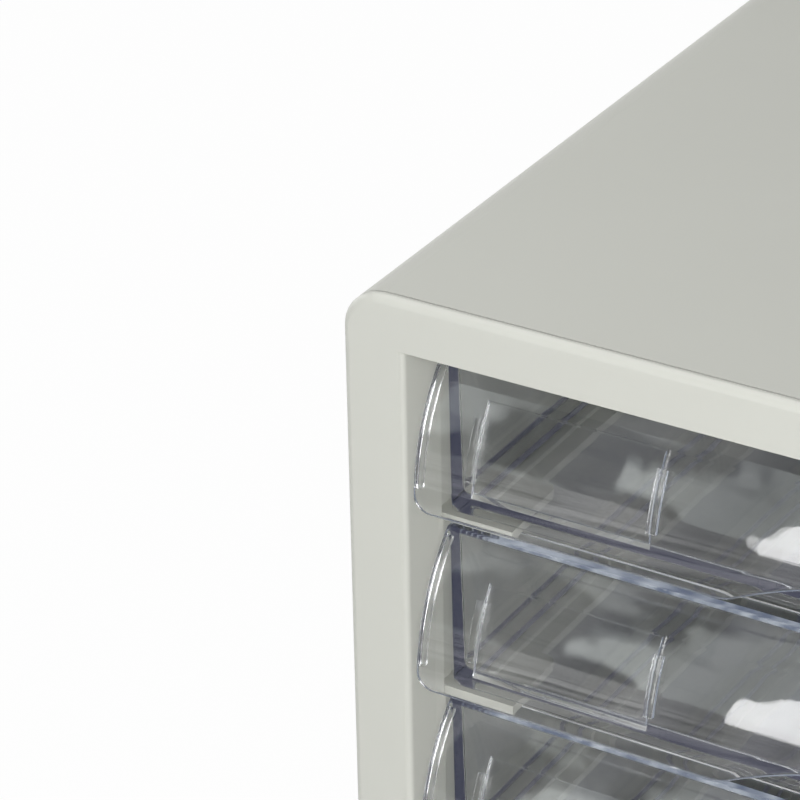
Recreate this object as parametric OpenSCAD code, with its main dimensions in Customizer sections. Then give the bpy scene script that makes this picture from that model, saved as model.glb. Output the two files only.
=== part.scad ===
// Desktop drawer tower: an opaque moulded casing with a stack of clear sheet-paper drawers.
// X runs to the right, Y to the back and Z up. The origin is the centre of the footprint,
// on the surface that the feet stand on. Sizes are in millimetres.

/* [Casing] */
// Overall width
body_w = 265; // [240:1:320]
// Overall depth, from the frame's face to the rear edge
body_d = 335; // [270:1:400]
// Radius of the four long corners, seen from the front
corner_r = 13.5; // [8:0.5:14]
// Wall of the outer wrap and of the base
shell_t = 2.5; // [2:0.1:3]
// Height at which the base meets the wrap, above the underside
base_h = 14; // [10:0.5:20]

/* [Front frame] */
// Face width of each upright
jamb_w = 15; // [14:0.5:20]
// Face height of the top bar
top_bar = 12; // [10:0.5:18]
// Face height of the bottom bar
base_bar = 14; // [12:0.5:20]
// Thickness of the face plate
frame_t = 2.5; // [2.2:0.1:4]
// Rounding of the outer front edge
edge_r = 2; // [1:0.1:2.2]
// Rounding of the inner front edge of each upright
jamb_r = 1.5; // [0.5:0.1:1.8]
// Depth of the collar that leads into the drawer bay
collar_d = 15.5; // [12:0.5:20]
// Wall of the collar and of the spigot
collar_t = 2; // [1.6:0.1:2.4]
// Depth of the spigot that fits inside the wrap
spigot_d = 7; // [5:0.5:10]

/* [Drawers] */
// Number of drawers
drawer_count = 7; // [3:1:10]
// Distance from one drawer to the next
pitch = 45; // [37.5:0.5:60]
// Gap above the top drawer
head_gap = 4.6; // [3:0.1:8]
// Room between a ledge and the top edge of the drawer below it
ledge_room = 1.1; // [0.8:0.1:3]
// Wall of a drawer box
wall_t = 2.2; // [1.8:0.1:2.8]
// Floor of a drawer box
floor_t = 2.4; // [2:0.1:3]
// Height of the skirt below the floor
skirt_h = 2.2; // [1.5:0.1:3]
// Gap between a drawer box and the frame, each side
box_gap = 1.4; // [1:0.1:2]
// Free distance that a drawer slides out
travel = 230; // [150:1:240]

/* [Hood front] */
// Room below a hood's lip, down to the top edge of the next drawer
lip_room = 10.7; // [8:0.1:14]
// Height of the hood's foremost line above its lip
lip_rise = 2.9; // [1:0.1:6]
// Depth from the hood's foremost line back to its top edge
hood_lean = 14.1; // [12:0.1:16]
// Wall of the hood
hood_t = 2.4; // [2:0.1:2.8]
// Setback of the foremost line behind the frame's face
nose = 1.8; // [1.4:0.1:4]
// Gap between the hood and the frame, each side
hood_gap = 0.8; // [0.5:0.1:1.2]
// Depth of the flat land behind the hood's top edge
land_d = 5; // [3.5:0.1:8]
// Radius of the hood's lower corners
lip_r = 4; // [2:0.5:6]
// Width of the finger scoop
scoop_w = 85; // [50:1:120]
// Rise of the finger scoop
scoop_h = 11.5; // [6:0.5:14]

/* [Label cover] */
// Width of the label cover
label_w = 42; // [30:1:80]
// Height of the label cover, seen from the front
label_h = 18.6; // [12:0.1:20]
// Distance from the frame's upright to the label cover
label_x = 15.2; // [8:0.1:30]
// Distance from the hood's top edge to the label cover
label_drop = 7.3; // [5:0.1:9]
// Thickness of the label cover
label_t = 0.8; // [0.6:0.1:1]
// Depth of its recess in the hood
label_sink = 0.5; // [0.3:0.1:0.8]
// Width of the ribs that hold it
clip_w = 1.5; // [1:0.1:2.5]
// Height of those ribs above the hood
clip_h = 1.1; // [0.8:0.1:1.3]

/* [Runners] */
// Thickness of a runner panel and of its ledges
runner_t = 2.2; // [1.8:0.1:2.6]
// Setback of a runner panel behind the frame's upright
liner_gap = 1.5; // [1.2:0.1:2.5]
// Reach of a ledge past the upright, along its length
ledge_w = 13; // [10:0.5:16]
// Reach of the wide pad at its front
pad_w = 17.5; // [16:0.5:24]
// End of that pad, behind the frame's face
pad_end = 37; // [28:0.5:60]
// Distance from the upright to the middle of the guide bead
bead_x = 8; // [6:0.1:9]
// Width of the guide bead
bead_w = 1.8; // [1:0.1:3]
// Height of the guide bead
bead_h = 1.2; // [0.8:0.1:1.6]

/* [Feet and screws] */
// Height of a foot below the base
foot_h = 3; // [2:0.5:8]
// Diameter of a foot
foot_dia = 16; // [10:1:20]
// Diameter of a screw's shank
screw_dia = 2.6; // [2:0.1:3]
// Diameter of a screw's head
head_dia = 6.4; // [5:0.1:7]

/* [Hidden] */
$fn = 48;
eps = 0.01;
seam = 0.15;        // fine parting line between two outer mouldings
fit = 0.2;          // clearance where one moulding slips inside another
ride_gap = 0.3;     // running clearance between a drawer and what carries or stops it
rib_t = 1.5;        // stiffening ribs
foot_sink = 1;      // depth of a foot's recess
screw_len = 10;     // shank length
screw_play = 0.8;   // how much wider a screw's hole is than its shank
pilot_play = 0.1;   // the same for the pilot hole that it drives into
head_play = 0.8;    // and for the recess of its head
head_h = 2;         // height of a screw's head
head_sink = 0.4;    // depth of the head below the surface round it
boss_dia = 8;       // screw bosses
seat_t = 2;         // plastic left under a screw's head
base_screw_in = 52; // distance from the end screws of the base to its ends
back_t = 2.2;       // back panel
back_inset = 1;     // setback of the back panel from the rear edge
flange_d = 6;       // depth of the back panel's flange
well_h = 2;         // height of the wells round its screws
box_draft = 0.6;    // how much a drawer box narrows on each side, top to bottom
cavity_draft = 1.2; // the same for the inside
box_r = 4;          // lower corners of a drawer box
wall_setback = 0.4; // step from the hood's top edge back to the box's front wall
rear_gap = 6;       // room between a drawer and the back panel
rear_r = 6;         // rear corners of a drawer box
stop_reach = 0.9;   // how far a drawer's stop tab reaches past the frame's upright
stop_len = 7;       // length of that tab
stop_h = 6;         // height of that tab
stop_drop = 3;      // distance of that tab below the top edge
bead_start = 13;    // distance from the guide bead's front end to the end of the pad
bead_stop = 10;     // distance from its rear end to the drawer's rear wall
feet_inset = 26;    // distance from a foot's middle to the body's sides

front_y = -body_d / 2;
rear_y = body_d / 2;
opening_w = body_w - 2 * jamb_w;
opening_h = head_gap + drawer_count * pitch;
body_h = base_bar + opening_h + top_bar;
opening_z = foot_h + base_bar;
opening_top = opening_z + opening_h;
split_z = foot_h + base_h;
shell_y = front_y + frame_t + seam;
shell_d = rear_y - shell_y;
collar_y = front_y + collar_d;
panel_y = collar_y + ride_gap;
back_y = rear_y - back_inset - back_t;

// Drawers: heights are measured from the top edge of the drawer's hood
hood_w = opening_w - 2 * hood_gap;
hood_h = pitch - lip_room;
hood_drop = hood_h - lip_rise;
hood_r = (pow(hood_drop, 2) + pow(hood_lean, 2)) / (2 * hood_lean);
hood_axis = nose + hood_r;
box_w = opening_w - 2 * box_gap;
box_h = pitch - ledge_room - runner_t - ride_gap;
wall_y = nose + hood_lean + wall_setback;
box_rear = back_y - rear_gap - front_y;
ledge_drop = box_h + ride_gap;
stop_y = collar_d + travel + ride_gap;
label_high = asin((hood_drop - label_drop) / hood_r);
label_low = asin((hood_drop - label_drop - label_h) / hood_r);
label_left = label_x - opening_w / 2;
label_turn = asin(fit / hood_r);
recess_r = hood_r - label_sink;

// Screw places: six under the base, six in the back
base_screw_x = opening_w / 2 - 5.5;
base_screw_y = [for (k = [-1:1]) collar_d / 2 + k * (body_d / 2 - base_screw_in)];
seat_z = foot_h + head_h + head_sink + seat_t;
back_screw_x = opening_w / 2 + liner_gap + runner_t + boss_dia / 2 - 1;
back_screw_z = [for (k = [1, 4, 7]) opening_z + opening_h * k / 8];
screw_seat_y = rear_y - back_inset - head_h - head_sink;

// Height of the top edge of a drawer
function drawer_z(i) = opening_top - head_gap - (i - 1) * pitch;

// Points of an arc
function arc(centre, r, from, to, n = 8) =
    [for (k = [0:n]) centre + r * [cos(from + (to - from) * k / n), sin(from + (to - from) * k / n)]];

// Left half of a tray's section: open at the top, leaning sides and rounded lower corners.
// The sides lean by the draft, so the corner's arc starts at the lean angle.
function tray_half(half_w, depth, draft, r) =
    let (lean = atan(draft / depth), corner_x = draft - half_w + r * (1 - sin(lean)) / cos(lean))
    concat([[-half_w, 0]], arc([corner_x, r - depth], r, 180 + lean, 270));

function mirrored(points) = [for (k = [len(points) - 1:-1:0]) [-points[k][0], points[k][1]]];

// A flat outline in X and Z, drawn out from y towards the back
module along_y(y, length) {
    translate([0, y + length, 0]) rotate([90, 0, 0]) linear_extrude(length) children();
}

// A side outline in Y and Z, drawn out from x to the right
module along_x(x, length) {
    translate([x, 0, 0]) rotate([90, 0, 90]) linear_extrude(length) children();
}

// Rectangle with round corners, standing on the X axis
module round_rect(w, h, r) {
    translate([r - w / 2, 0]) square([w - 2 * r, h]);
    translate([-w / 2, r]) square([w, h - 2 * r]);
    for (x = [r - w / 2, w / 2 - r], z = [r, h - r]) translate([x, z]) circle(r);
}

// The casing's front outline, drawn in by a distance
module body_outline(inset) {
    translate([0, foot_h + inset])
        round_rect(body_w - 2 * inset, body_h - 2 * inset, corner_r - inset);
}

module body_ring(inset, thickness) {
    difference() {
        body_outline(inset);
        body_outline(inset + thickness);
    }
}

// The frame's opening, let out by a distance
module opening_outline(grow) {
    translate([-opening_w / 2 - grow, opening_z - grow])
        square([opening_w + 2 * grow, opening_h + 2 * grow]);
}

// Everything below a height
module below(z) {
    translate([-body_w, -body_d, -1]) cube([2 * body_w, 2 * body_d, z + 1]);
}

// One side of the slab's section: a plate whose upper outer edge is rounded
module rim_section(reach) {
    square([reach - edge_r, frame_t]);
    square([reach, frame_t - edge_r]);
    translate([reach - edge_r, frame_t - edge_r]) intersection() {
        circle(edge_r);
        square(edge_r);
    }
}

// Plate with round corners and a rounded upper edge, lying centred on the origin
module rounded_slab(w, h) {
    x = w / 2 - corner_r;
    y = h / 2 - corner_r;
    corners = [[x, y], [-x, y], [-x, -y], [x, -y]];
    runs = [2 * x, 2 * y, 2 * x, 2 * y];
    translate([-x, -y, 0]) cube([2 * x, 2 * y, frame_t]);
    for (q = [0:3]) translate(corners[q]) {
        rotate(90 * q) rotate_extrude(angle = 90) rim_section(corner_r);
        rotate(90 * q + 90) translate([0, runs[q], 0]) rotate([90, 0, 0])
            linear_extrude(runs[q]) rim_section(corner_r);
    }
}

// Top and sides of the casing in one wrap, ribbed under the top
module casing_shell() {
    rib_h = 5;
    rib_z = foot_h + body_h - shell_t - rib_h;
    rib_y = front_y + collar_d;
    rib_d = back_y - flange_d - 1 - rib_y;
    channel = opening_w / 2 + liner_gap;
    color("#d2d3cb") {
        difference() {
            along_y(shell_y, shell_d) body_ring(0, shell_t);
            below(split_z);
        }
        // Lengthwise ribs: three plain ones, and a pair each side that grips a runner panel
        for (x = [-body_w / 4, 0, body_w / 4]) translate([x - rib_t / 2, rib_y, rib_z])
            cube([rib_t, rib_d, rib_h + eps]);
        for (side = [-1, 1], x = [channel - fit - rib_t / 2, channel + runner_t + fit + rib_t / 2])
            translate([side * x - rib_t / 2, rib_y, rib_z]) cube([rib_t, rib_d, rib_h + eps]);
        // Crosswise ribs between the channels
        for (k = [1:3]) translate([-channel + fit + rib_t / 2, rib_y + rib_d * k / 4 - rib_t / 2, rib_z])
            cube([2 * channel - 2 * fit - rib_t, rib_t, rib_h + eps]);
    }
}

// Bezel on the front edge: rounded face plate, collar round the drawer bay, spigot inside the wrap
module front_frame() {
    web_x = body_w / 2 - shell_t - fit - collar_t;
    collar_x = opening_w / 2 + collar_t;
    color("#d4d5cd") difference() {
        union() {
            translate([0, front_y + frame_t, foot_h + body_h / 2]) rotate([90, 0, 0])
                rounded_slab(body_w, body_h);
            along_y(front_y + frame_t - eps, collar_d - frame_t + eps) opening_outline(collar_t);
            along_y(front_y + frame_t - eps, spigot_d + eps) body_ring(shell_t + fit, collar_t);
            // Webs that tie the collar to the spigot beside every drawer
            for (i = [1:drawer_count], side = [0, 1]) mirror([side, 0, 0])
                translate([collar_x - eps, front_y + frame_t - eps, drawer_z(i) - pitch / 2])
                    cube([web_x - collar_x + 2 * eps, spigot_d, rib_t]);
        }
        along_y(front_y - 1, collar_d + 2) opening_outline(0);
        // Rounded inner edge of each upright
        for (side = [0, 1]) mirror([side, 0, 0]) translate([opening_w / 2, front_y, opening_z])
            difference() {
                translate([-eps, -eps, 0]) cube([jamb_r + eps, jamb_r + eps, opening_h]);
                translate([jamb_r, jamb_r, -1]) cylinder(r = jamb_r, h = opening_h + 2);
            }
    }
}

// Ribbed bottom moulding that closes the wrap
module base_tray() {
    rib_h = 7;
    end_gap = 2;
    floor_z = foot_h + shell_t;
    rib_x = base_screw_x - boss_dia;
    rib_y = collar_y + end_gap;
    rib_d = back_y - flange_d - end_gap - rib_y;
    tongue_h = 9;
    tongue_z = split_z - 4;
    tongue_root = 3;
    tongue_x = body_w / 2 - shell_t - fit - collar_t;
    tongue_y = front_y + frame_t + spigot_d + end_gap;
    tongue_d = back_y - flange_d - end_gap - tongue_y;
    color("#cccdc5") difference() {
        union() {
            intersection() {
                along_y(shell_y, shell_d) body_ring(0, shell_t);
                below(split_z - seam);
            }
            // Tongues that stand inside the wrap's side walls
            for (side = [0, 1]) mirror([side, 0, 0]) {
                translate([tongue_x, tongue_y, tongue_z]) cube([collar_t, tongue_d, tongue_h]);
                translate([tongue_x, tongue_y, tongue_z]) cube([collar_t + 2 * fit, tongue_d, tongue_root]);
            }
            for (x = [-1, 0, 1]) translate([x * rib_x - rib_t / 2, rib_y, floor_z - eps])
                cube([rib_t, rib_d, rib_h]);
            for (k = [0:4]) translate([-rib_x, rib_y + (rib_d - rib_t) * k / 4, floor_z - eps])
                cube([2 * rib_x, rib_t, rib_h]);
            for (x = [-base_screw_x, base_screw_x], y = base_screw_y)
                translate([x, y, foot_h + eps]) cylinder(d = boss_dia + 3, h = seat_z - foot_h - eps);
        }
        for (x = [-base_screw_x, base_screw_x], y = base_screw_y) translate([x, y, 0]) {
            cylinder(d = head_dia + head_play, h = seat_z - seat_t);
            cylinder(d = screw_dia + screw_play, h = seat_z + 1);
        }
        for (x = [-1, 1], y = [-1, 1]) foot_place(x, y)
            cylinder(d = foot_dia + 2 * fit, h = foot_h + foot_sink);
    }
}

// Closing panel at the rear, set inside the wrap and the base
module back_panel() {
    rim = shell_t + ride_gap;
    rib_h = 3;
    color("#cccdc5") difference() {
        union() {
            along_y(back_y, back_t) body_outline(rim);
            along_y(back_y - flange_d, flange_d + eps) body_ring(rim, rib_t);
            // Upright stiffeners on the inner face
            for (k = [-2:2]) translate([k * opening_w / 5 - rib_t / 2, back_y - rib_h, opening_z])
                cube([rib_t, rib_h + eps, opening_h]);
            for (x = [-back_screw_x, back_screw_x], z = back_screw_z) translate([x, back_y, z])
                rotate([90, 0, 0]) cylinder(d = boss_dia + 2, h = well_h);
        }
        for (x = [-back_screw_x, back_screw_x], z = back_screw_z)
            translate([x, rear_y, z]) rotate([90, 0, 0]) {
            cylinder(d = head_dia + head_play, h = rear_y - screw_seat_y);
            cylinder(d = screw_dia + screw_play, h = rear_y - back_y + well_h + 1);
        }
        // Notches in the flange that clear the runner panels' screw bosses
        for (x = [-back_screw_x, back_screw_x], z = back_screw_z)
            translate([x, back_y - well_h, z]) rotate([90, 0, 0])
                cylinder(d = boss_dia + 2 * fit, h = flange_d);
    }
}

// Ledge for one drawer, seen from above, with the upright's plane at x = 0 and the frame's face at y = 0
module ledge_outline(length) {
    pad_r = 3;
    root = liner_gap + runner_t / 2;
    translate([-root, collar_d + ride_gap]) square([root + ledge_w, length]);
    translate([-root, collar_d + ride_gap]) square([root + pad_w - pad_r, pad_end - collar_d - ride_gap]);
    translate([-root, collar_d + ride_gap]) square([root + pad_w, pad_end - collar_d - ride_gap - pad_r]);
    translate([pad_w - pad_r, pad_end - pad_r]) circle(pad_r);
}

// Left inner liner: panel, a ledge with its guide bead and closing stop for each drawer, screw bosses
module runner_panel() {
    panel_d = back_y - well_h - ride_gap - panel_y;
    panel_z = max(seat_z + fit, foot_h + shell_t + 2 * ride_gap + rib_t);
    panel_top = foot_h + body_h - shell_t - 2 * ride_gap - rib_t;
    reach = body_w / 2 - shell_t - fit - collar_t - fit;
    rib_in = 12;
    rib_out = 38;
    rib_z = split_z + 8;
    bead_ends = [pad_end - bead_start, box_rear - bead_stop];
    rest_d = 3;
    rest_h = 6;
    x = -opening_w / 2;
    difference() {
        union() {
            translate([x - liner_gap - runner_t, panel_y, panel_z])
                cube([runner_t, panel_d, panel_top - panel_z]);
            // Upright ribs on the hidden side
            for (k = [0:5])
                translate([-reach, panel_y + rib_in + (panel_d - rib_in - rib_out) * k / 5, rib_z])
                    cube([reach + x - liner_gap - runner_t + eps, rib_t, opening_top - rib_z]);
            for (i = [1:drawer_count]) {
                ledge_z = drawer_z(i) - ledge_drop;
                translate([x, front_y, ledge_z - runner_t]) linear_extrude(runner_t) ledge_outline(panel_d);
                // Guide bead with round ends
                translate([x + bead_x, front_y, ledge_z - eps]) linear_extrude(bead_h + eps) {
                    translate([-bead_w / 2, bead_ends[0]]) square([bead_w, bead_ends[1] - bead_ends[0]]);
                    for (y = bead_ends) translate([0, y]) circle(d = bead_w);
                }
                // Stop that the closed drawer rests against
                translate([x - liner_gap - eps, front_y + box_rear + ride_gap, ledge_z - eps])
                    cube([ledge_w, rest_d, rest_h]);
            }
            for (y = base_screw_y) translate([-base_screw_x, y, panel_z])
                cylinder(d = boss_dia, h = drawer_z(drawer_count) - ledge_drop - panel_z - eps);
            for (z = back_screw_z) translate([-back_screw_x, panel_y + panel_d, z]) rotate([90, 0, 0])
                cylinder(d = boss_dia, h = screw_len + 2);
        }
        for (y = base_screw_y) translate([-base_screw_x, y, seat_z - 1])
            cylinder(d = screw_dia + pilot_play, h = screw_len);
        for (z = back_screw_z) translate([-back_screw_x, back_y, z]) rotate([90, 0, 0])
            cylinder(d = screw_dia + pilot_play, h = screw_len + 3);
    }
}

module runner_panel_left() {
    color("#c9cac2") runner_panel();
}

module runner_panel_right() {
    color("#c9cac2") mirror([1, 0, 0]) runner_panel();
}

// Puts a part at one of the four foot places
module foot_place(x, y) {
    translate([x * (body_w / 2 - feet_inset), y * (body_d / 2 - feet_inset), 0]) children();
}

// Round rubber foot, its lower edge rounded
module foot() {
    r = 1.2;
    h = foot_h + foot_sink;
    color("#3a3a3a") rotate_extrude() {
        square([foot_dia / 2 - r, h]);
        translate([0, r]) square([foot_dia / 2, h - r]);
        translate([foot_dia / 2 - r, r]) circle(r);
    }
}

// Screw pointing up, the underside of its head at the origin
module screw() {
    cylinder(d = screw_dia, h = screw_len);
    difference() {
        translate([0, 0, -head_h]) cylinder(d = head_dia, h = head_h);
        for (turn = [0, 90]) rotate(turn) translate([-head_dia / 4, -0.5, -head_h - eps])
            cube([head_dia / 2, 1, 1]);
    }
}

module base_screws() {
    color("#9a9ca0") for (x = [-base_screw_x, base_screw_x], y = base_screw_y)
        translate([x, y, seat_z - seat_t]) screw();
}

module back_screws() {
    color("#9a9ca0") for (x = [-back_screw_x, back_screw_x], z = back_screw_z)
        translate([x, screw_seat_y, z]) rotate([90, 0, 0]) screw();
}

// Part of a ring round the hood's axis, in the hood's side section, between two angles above level
module hood_sector(r_in, r_out, low, high) {
    far = 2 * r_out;
    translate([hood_axis, -hood_drop]) intersection() {
        difference() {
            circle(r_out, $fn = 180);
            circle(r_in, $fn = 180);
        }
        polygon([[0, 0], far * [-cos(low), sin(low)], far * [-cos(high), sin(high)]]);
    }
}

// Curved hood front, hung from the box's top front edge: lip corners rounded, finger scoop cut in
module hood() {
    half = scoop_w / 2;
    scoop_r = (pow(half, 2) + pow(scoop_h, 2)) / (2 * scoop_h);
    corner = arc([lip_r - hood_w / 2, lip_r - hood_h], lip_r, 180, 270);
    intersection() {
        along_x(-hood_w / 2, hood_w) intersection() {
            translate([hood_axis, -hood_drop]) difference() {
                circle(hood_r, $fn = 180);
                circle(hood_r - hood_t, $fn = 180);
            }
            translate([0, -hood_h]) square([wall_y + wall_t, hood_h]);
        }
        along_y(0, wall_y + wall_t + 1) difference() {
            polygon(concat([[-hood_w / 2, 0]], corner, mirrored(corner), [[hood_w / 2, 0]]));
            translate([0, scoop_h - hood_h - scoop_r]) circle(scoop_r, $fn = 180);
        }
    }
}

// Two ribs on the hood whose edges reach over the sides of the label cover
module label_clips() {
    span = label_high - label_low;
    low = label_low + span / 8;
    high = label_high - span / 5;
    lip = 0.6;
    under = recess_r + label_t + fit;
    for (side = [0, 1]) {
        edge = side ? label_left + label_w + fit : label_left - fit - clip_w;
        over = side ? label_left + label_w - lip : label_left - fit - clip_w;
        along_x(edge, clip_w) hood_sector(hood_r - 1, hood_r + clip_h, low, high);
        along_x(over, clip_w + fit + lip) hood_sector(under, hood_r + clip_h, low, high);
    }
}

// Open box of a drawer, its walls leaning and its corners rounded, with the land along its front edge
module drawer_box() {
    length = box_rear - wall_y;
    cavity_w = box_w / 2 - wall_t;
    skirt_w = 2 * cavity_w - 2 * wall_t;
    outside = tray_half(box_w / 2, box_h, box_draft, box_r);
    inside = tray_half(cavity_w, box_h - skirt_h - floor_t, cavity_draft, box_r - 1);
    difference() {
        intersection() {
            along_y(wall_y, length) polygon(concat(outside, mirrored(outside)));
            translate([0, wall_y, -box_h - 1]) linear_extrude(box_h + 2) tray_plan(box_w, length, rear_r);
        }
        intersection() {
            along_y(wall_y + wall_t, length - 2 * wall_t)
                polygon(concat([[-cavity_w, 1]], inside, mirrored(inside), [[cavity_w, 1]]));
            translate([0, wall_y + wall_t, -box_h]) linear_extrude(box_h + 2)
                tray_plan(box_w - 2 * wall_t, length - 2 * wall_t, rear_r - wall_t);
        }
        // Hollow inside the skirt, open at the rear so that it clears the guide beads
        translate([-skirt_w / 2, wall_y + wall_t, -box_h - 1]) cube([skirt_w, length, skirt_h + 1]);
    }
    translate([eps - cavity_w, wall_y + eps, -wall_t]) cube([2 * cavity_w - 2 * eps, land_d, wall_t]);
    // Stop tabs near the rear, behind the frame's uprights
    for (side = [0, 1]) mirror([side, 0, 0])
        translate([opening_w / 2 + stop_reach, stop_y, -stop_h - stop_drop]) mirror([1, 0, 0])
            cube([stop_reach + box_gap + wall_t / 2, stop_len, stop_h]);
}

// Plan of a tray, its front edge on the X axis and its rear corners rounded
module tray_plan(w, length, r) {
    translate([-w / 2, 0]) square([w, length - r]);
    translate([r - w / 2, 0]) square([w - 2 * r, length]);
    for (x = [r - w / 2, w / 2 - r]) translate([x, length - r]) circle(r);
}

module drawer(i) {
    color([0.8, 0.83, 0.88, 0.4]) translate([0, front_y, drawer_z(i)]) {
        difference() {
            union() {
                hood();
                drawer_box();
            }
            along_x(label_left - fit, label_w + 2 * fit)
                hood_sector(recess_r, hood_r + 1, label_low - label_turn, label_high + label_turn);
        }
        label_clips();
    }
}

// Thin clear pane, bent to the hood's curve, with room behind it for a card
module label_cover(i) {
    card_gap = 0.1;
    color([0.88, 0.9, 0.94, 0.35]) translate([0, front_y, drawer_z(i)]) along_x(label_left, label_w)
        hood_sector(recess_r + card_gap, recess_r + label_t, label_low, label_high);
}

casing_shell();
front_frame();
base_tray();
back_panel();
runner_panel_left();
runner_panel_right();
foot_place(-1, -1) foot();  // foot_front_left
foot_place(1, -1) foot();  // foot_front_right
foot_place(-1, 1) foot();  // foot_rear_left
foot_place(1, 1) foot();  // foot_rear_right
base_screws();
back_screws();
for (i = [1:drawer_count]) drawer(i);
for (i = [1:drawer_count]) label_cover(i);
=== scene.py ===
import math
import bmesh
import bpy
import numpy as np
from mathutils import Matrix, Vector


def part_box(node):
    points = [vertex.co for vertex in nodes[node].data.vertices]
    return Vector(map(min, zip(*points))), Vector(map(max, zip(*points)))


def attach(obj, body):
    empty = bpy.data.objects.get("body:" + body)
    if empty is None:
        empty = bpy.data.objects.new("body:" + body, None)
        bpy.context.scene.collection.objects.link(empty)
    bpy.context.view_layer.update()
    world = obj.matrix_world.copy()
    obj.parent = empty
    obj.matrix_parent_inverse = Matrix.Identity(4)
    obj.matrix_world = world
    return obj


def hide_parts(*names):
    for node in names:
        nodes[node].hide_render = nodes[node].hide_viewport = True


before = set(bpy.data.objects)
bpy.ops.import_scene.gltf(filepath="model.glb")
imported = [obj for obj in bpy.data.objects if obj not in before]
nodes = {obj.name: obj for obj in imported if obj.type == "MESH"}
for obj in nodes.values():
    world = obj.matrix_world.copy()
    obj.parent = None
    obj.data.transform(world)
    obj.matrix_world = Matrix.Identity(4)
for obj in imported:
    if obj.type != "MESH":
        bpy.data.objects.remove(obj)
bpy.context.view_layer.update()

mm = 0.001

# The photo's view, solved from the straight edges of the drawers in an 800 x 800 picture
cameraView = {
    "place": (0.2321, -0.7341, 0.6912),
    "azimuth": 31.74,     # degrees, 0 looks along +Y
    "elevation": 28.78,
    "roll": -1.15,
    "lens": 163.0,        # on a 36 mm sensor
}


def makeCamera(view):
    azimuth, elevation = math.radians(view["azimuth"]), math.radians(view["elevation"])
    back = Vector((math.sin(azimuth) * math.cos(elevation),
                   -math.cos(azimuth) * math.cos(elevation), math.sin(elevation)))
    right = Vector((0, 0, 1)).cross(back).normalized()
    up = back.cross(right)
    turn = Matrix((right, up, back)).transposed() @ Matrix.Rotation(math.radians(view["roll"]), 3, "Z")
    data = bpy.data.cameras.new("photoCamera")
    data.lens = view["lens"]
    data.clip_end = 100
    camera = bpy.data.objects.new("photoCamera", data)
    camera.matrix_world = Matrix.Translation(view["place"]) @ turn.to_4x4()
    bpy.context.scene.collection.objects.link(camera)
    bpy.context.scene.camera = camera


makeCamera(cameraView)
print("camera in place")


# Materials: noise is read in the object's own coordinates, so it stays put on every piece
def newMaterial(name):
    material = bpy.data.materials.new(name)
    material.use_nodes = True
    tree = material.node_tree
    return material, tree, tree.nodes["Principled BSDF"]


def addNode(tree, kind, **sockets):
    node = tree.nodes.new(kind)
    for socket, value in sockets.items():
        node.inputs[socket].default_value = value
    return node


def noiseOn(tree, scale, detail=2.0, stretch=(1, 1, 1)):    # scale in cycles per metre
    place = tree.nodes.new("ShaderNodeTexCoord")
    mapping = tree.nodes.new("ShaderNodeMapping")
    mapping.inputs["Scale"].default_value = stretch
    noise = addNode(tree, "ShaderNodeTexNoise", Scale=scale, Detail=detail)
    tree.links.new(place.outputs["Object"], mapping.inputs["Vector"])
    tree.links.new(mapping.outputs["Vector"], noise.inputs["Vector"])
    return noise.outputs["Fac"]


def ramp(tree, value, low, high, start=0.3, end=0.7):
    node = tree.nodes.new("ShaderNodeValToRGB")
    node.color_ramp.elements[0].position = start
    node.color_ramp.elements[1].position = end
    node.color_ramp.elements[0].color = (*low, 1)
    node.color_ramp.elements[1].color = (*high, 1)
    tree.links.new(value, node.inputs["Fac"])
    return node.outputs["Color"]


def mapped(tree, value, low, high, start=0.0, end=1.0):
    node = addNode(tree, "ShaderNodeMapRange")
    node.inputs["From Min"].default_value = start
    node.inputs["From Max"].default_value = end
    node.inputs["To Min"].default_value = low
    node.inputs["To Max"].default_value = high
    tree.links.new(value, node.inputs["Value"])
    return node.outputs["Result"]


def either(tree, first, second):                            # the larger of two values
    node = tree.nodes.new("ShaderNodeMath")
    node.operation = "MAXIMUM"
    tree.links.new(first, node.inputs[0])
    tree.links.new(second, node.inputs[1])
    return node.outputs[0]


def bumpOn(tree, shader, height, strength, distance):
    bump = addNode(tree, "ShaderNodeBump", Strength=strength, Distance=distance)
    tree.links.new(height, bump.inputs["Height"])
    tree.links.new(bump.outputs["Normal"], shader.inputs["Normal"])


mouldLook = {
    "clouds": (14, 3),             # cycles per metre and detail of the flow clouds
    "spread": 0.012,               # how far they lighten and darken the colour, as a share of it
    "grain": (2600, 2), "glossSpread": 0.05,
    "relief": (0.12, 0.00006),     # strength, height in metres
}


# Opaque moulded plastic: faint flow clouds in its colour, a spark-eroded grain in its gloss and relief
def mouldedPlastic(name, colour, roughness, look):
    material, tree, shader = newMaterial(name)
    low = [c * (1 - look["spread"]) for c in colour]
    high = [c * (1 + look["spread"]) for c in colour]
    tree.links.new(ramp(tree, noiseOn(tree, *look["clouds"]), low, high), shader.inputs["Base Color"])
    grain = noiseOn(tree, *look["grain"])
    gloss = mapped(tree, grain, roughness - look["glossSpread"], roughness + look["glossSpread"])
    tree.links.new(gloss, shader.inputs["Roughness"])
    bumpOn(tree, shader, grain, *look["relief"])
    return material


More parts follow.
